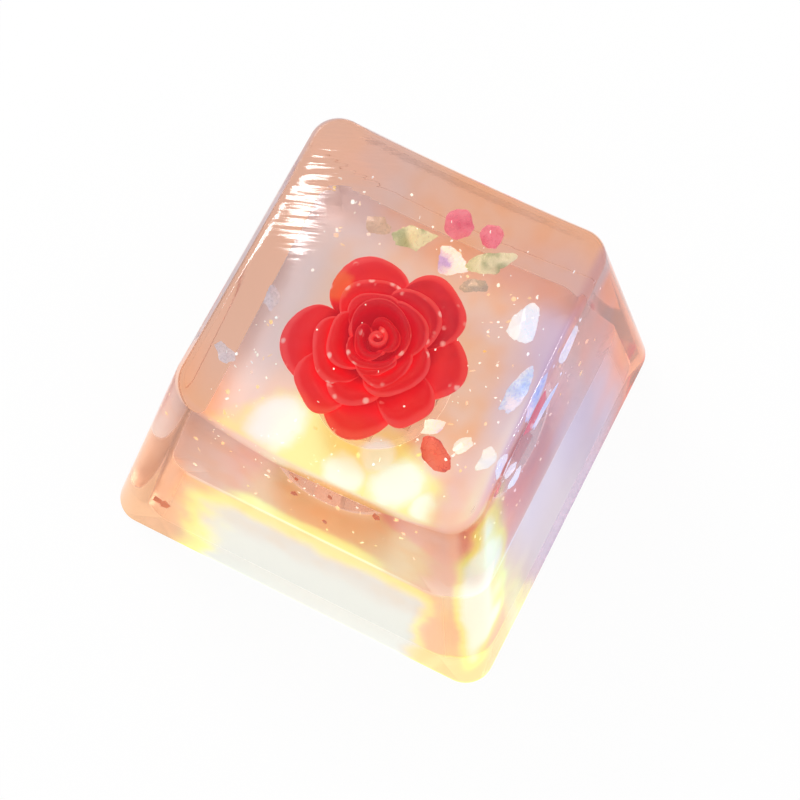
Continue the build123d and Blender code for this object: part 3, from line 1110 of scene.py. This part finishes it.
class Specks:
    """Gathers small flat scraps of film into one mesh."""

    def __init__(self, seed):
        self.random = np.random.default_rng(seed)
        self.points = []
        self.faces = []

    def add(self, middle, side):
        """One scrap of 4 to 6 corners, turned at random."""
        first, second = np.linalg.qr(self.random.normal(size=(3, 3)))[0][:2]
        corners = self.random.integers(4, 7)
        start = len(self.points)
        for k in range(corners):
            turn = 2 * math.pi * k / corners
            long = side * self.random.uniform(0.7, 1.3)
            self.points.append(middle + long * (first * math.cos(turn) + second * math.sin(turn)))
        self.faces.append(tuple(range(start, start + corners)))


# Rust-brown specks by the front wall: their places and their reach, in millimetres
RUST_SPECKS = (
    (-0.76, -6.56, 8.1, 0.16),
    (0.78, -6.3, 9.1, 0.15),
    (2.82, -6.24, 9.3, 0.19),
    (0.74, -6.8, 7.15, 0.13),
    (-0.74, -6.27, 9.2, 0.12),
    (-6.47, -8.07, 2.25, 0.3),
    (-6.8, -8.04, 2.35, 0.22),
)


class KEYCAP_OT_glitter(bpy.types.Operator):
    """Strews fine glitter over the cavity, pearly dust round the rose and rust specks at the front"""
    bl_idname = "keycap.glitter"
    bl_label = "Strew the glitter"
    GLITTER_SEED, GLITTER_COUNT = 5, 70
    DUST_SEED, DUST_COUNT = 8, 130
    RUST_SEED = 17
    GLITTER_WALL, DUST_WALL, RUST_WALL = 0.02 * MM, 0.015 * MM, 0.08 * MM
    GLITTER_INSET = 0.2 * MM
    STEM_CLEAR = 3.6 * MM
    ROSE_REACH = 4.3 * MM
    ROSE_TOP = 8.7 * MM
    DUST_LEFT_OUT = 0.7
    # Least and greatest, in millimetres
    GLITTER_REACH, DUST_REACH = (0.05, 0.14), (0.02, 0.085)
    DUST_ACROSS, DUST_ALONG, DUST_DEPTH = (-5.9, 5.9), (-5.4, 6.4), (1.2, 4.6)

    def execute(self, context):
        self.strew_glitter()
        self.strew_dust(context.scene.keycap_rose, CapForm(context.scene.keycap_shape))
        self.lay_rust()
        return {"FINISHED"}

    def strew_glitter(self):
        """Gold specks between the cavity and the top, round the stem."""
        low, high = (np.array(corner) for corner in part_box("glitter"))
        specks = Specks(self.GLITTER_SEED)
        while len(specks.faces) < self.GLITTER_COUNT:
            middle = specks.random.uniform(low + self.GLITTER_INSET, high - self.GLITTER_INSET)
            if np.hypot(middle[0], middle[1]) > self.STEM_CLEAR:
                specks.add(middle, specks.random.uniform(*self.GLITTER_REACH) * MM)
        look = bpy.data.materials["film_gold_sheet"]
        piece = add_piece("glitter_specks", specks.points, specks.faces, look, "film_gold", ["glitter"])
        thicken(piece, self.GLITTER_WALL, 0)

    def strew_dust(self, rose, form):
        """Pearly dust under the top, none of it inside the rose and little of it over the rose."""
        dust = Specks(self.DUST_SEED)
        while len(dust.faces) < self.DUST_COUNT:
            x = dust.random.uniform(*self.DUST_ACROSS) * MM
            y = dust.random.uniform(*self.DUST_ALONG) * MM
            top = float(form.top(np.array([x]), np.array([y]))[0])
            middle = np.array([x, y, top - dust.random.uniform(*self.DUST_DEPTH) * MM])
            over = np.hypot(x - rose.centre_x, y - rose.centre_y) < self.ROSE_REACH
            if over and middle[2] < self.ROSE_TOP or over and dust.random.uniform() < self.DUST_LEFT_OUT:
                continue
            dust.add(middle, dust.random.uniform(*self.DUST_REACH) * MM)
        # Pearly dust with its painted glow (emission) at full strength
        look = film_finish("pearl_dust", FILMS["film_pearl"], 1.0, 0.5 * MM)
        piece = add_piece("pearl_dust", dust.points, dust.faces, look, "film_pearl")
        thicken(piece, self.DUST_WALL, 0)

    def lay_rust(self):
        """A few rust-brown specks by the front wall."""
        rust = Specks(self.RUST_SEED)
        for x, y, z, side in RUST_SPECKS:
            rust.add(np.array((x, y, z)) * MM, side * MM)
        look = film_finish("rust_specks", RUST_SHADES, RUST_LIT, 0.5 * MM)
        piece = add_piece("rust_specks", rust.points, rust.faces, look, "film_tan")
        thicken(piece, self.RUST_WALL, 0)


# The camera: where it looks, its angles and distance, and its focal length in pixels of the frame
CAMERA_TARGET = (0.782 * MM, -0.306 * MM, 5.0 * MM)
CAMERA_TURN = math.radians(25.195)
CAMERA_RISE = math.radians(70.741)
CAMERA_ROLL = math.radians(1.79)
CAMERA_AWAY = 89.46 * MM
FOCAL_PIXELS = 2110.4
FRAME_PIXELS = 800

# Soft lamps: name, place and size in metres, power in watts
LAMPS = (
    ("key", (0.0275, 0.043, 0.256), 0.02, 0.08),
    ("side", (-0.14, 0.10, 0.14), 0.09, 0.12),
)


class KEYCAP_OT_stage(bpy.types.Operator):
    """Sets the floor, the soft lights and the camera"""
    bl_idname = "keycap.stage"
    bl_label = "Set the stage"
    FLOOR_HALF = 1.5
    FLOOR_DROP = 0.02 * MM
    SKY = 0.86

    def execute(self, context):
        scene = context.scene
        scene.view_settings.view_transform = "Standard"
        self.floor(scene)
        world = bpy.data.worlds.new("studio")
        world.use_nodes = True
        sky = world.node_tree.nodes["Background"]
        sky.inputs["Color"].default_value = (*WHITE, 1.0)
        sky.inputs["Strength"].default_value = self.SKY
        scene.world = world
        target = Vector(CAMERA_TARGET)
        for name, place, size, power in LAMPS:
            self.lamp(scene, name, Vector(place), size, power, target)
        self.camera(scene, target)
        return {"FINISHED"}

    def floor(self, scene):
        """A wide pale floor just under the foot."""
        half = self.FLOOR_HALF
        corners = [(-half, -half, 0), (half, -half, 0), (half, half, 0), (-half, half, 0)]
        mesh = bpy.data.meshes.new("floor")
        mesh.from_pydata(corners, [], [(0, 1, 2, 3)])
        mesh.materials.append(floor_finish())
        floor = bpy.data.objects.new("floor", mesh)
        floor.location.z = -self.FLOOR_DROP
        scene.collection.objects.link(floor)

    def lamp(self, scene, name, place, size, power, target):
        """A square lamp that faces the cap."""
        light = bpy.data.lights.new(name, "AREA")
        light.size = size
        light.energy = power
        lamp = bpy.data.objects.new(name, light)
        lamp.location = place
        lamp.rotation_mode = "QUATERNION"
        lamp.rotation_quaternion = (place - target).to_track_quat("Z", "Y")
        scene.collection.objects.link(lamp)

    def camera(self, scene, target):
        """The camera at the photograph's angle."""
        level = Vector((math.cos(CAMERA_TURN), math.sin(CAMERA_TURN), 0))
        out = math.cos(CAMERA_RISE)
        back = Vector((math.sin(CAMERA_TURN) * out, -math.cos(CAMERA_TURN) * out, math.sin(CAMERA_RISE)))
        upright = back.cross(level)
        right = level * math.cos(CAMERA_ROLL) + upright * math.sin(CAMERA_ROLL)
        up = upright * math.cos(CAMERA_ROLL) - level * math.sin(CAMERA_ROLL)
        data = bpy.data.cameras.new("camera")
        data.sensor_width = 36.0
        data.lens = FOCAL_PIXELS / FRAME_PIXELS * data.sensor_width
        data.clip_start = 1 * MM
        data.clip_end = 10.0
        camera = bpy.data.objects.new("camera", data)
        pose = Matrix((right, up, back)).transposed().to_4x4()
        pose.translation = target + back * CAMERA_AWAY
        camera.matrix_world = pose
        scene.collection.objects.link(camera)
        scene.camera = camera


class KEYCAP_PT_parts(bpy.types.Panel):
    """Lists the steps that dress the keycap"""
    bl_label = "Rose keycap"
    bl_space_type = "VIEW_3D"
    bl_region_type = "UI"
    bl_category = "Keycap"

    def draw(self, context):
        for step in STEPS:
            self.layout.operator(step.bl_idname)


STEPS = (KEYCAP_OT_resin, KEYCAP_OT_rose, KEYCAP_OT_flakes, KEYCAP_OT_scraps, KEYCAP_OT_glitter,
         KEYCAP_OT_stage)
CLASSES = (CapShape, CapColours, RoseShape, *STEPS, KEYCAP_PT_parts)


def register():
    for item in CLASSES:
        bpy.utils.register_class(item)
    bpy.types.Scene.keycap_shape = PointerProperty(type=CapShape)
    bpy.types.Scene.keycap_colours = PointerProperty(type=CapColours)
    bpy.types.Scene.keycap_rose = PointerProperty(type=RoseShape)


def unregister():
    del bpy.types.Scene.keycap_rose
    del bpy.types.Scene.keycap_colours
    del bpy.types.Scene.keycap_shape
    for item in reversed(CLASSES):
        bpy.utils.unregister_class(item)


def main():
    register()
    bpy.ops.keycap.resin()
    bpy.ops.keycap.rose()
    bpy.ops.keycap.flakes()
    bpy.ops.keycap.scraps()
    bpy.ops.keycap.glitter()
    bpy.ops.keycap.stage()


if __name__ == "__main__":
    main()
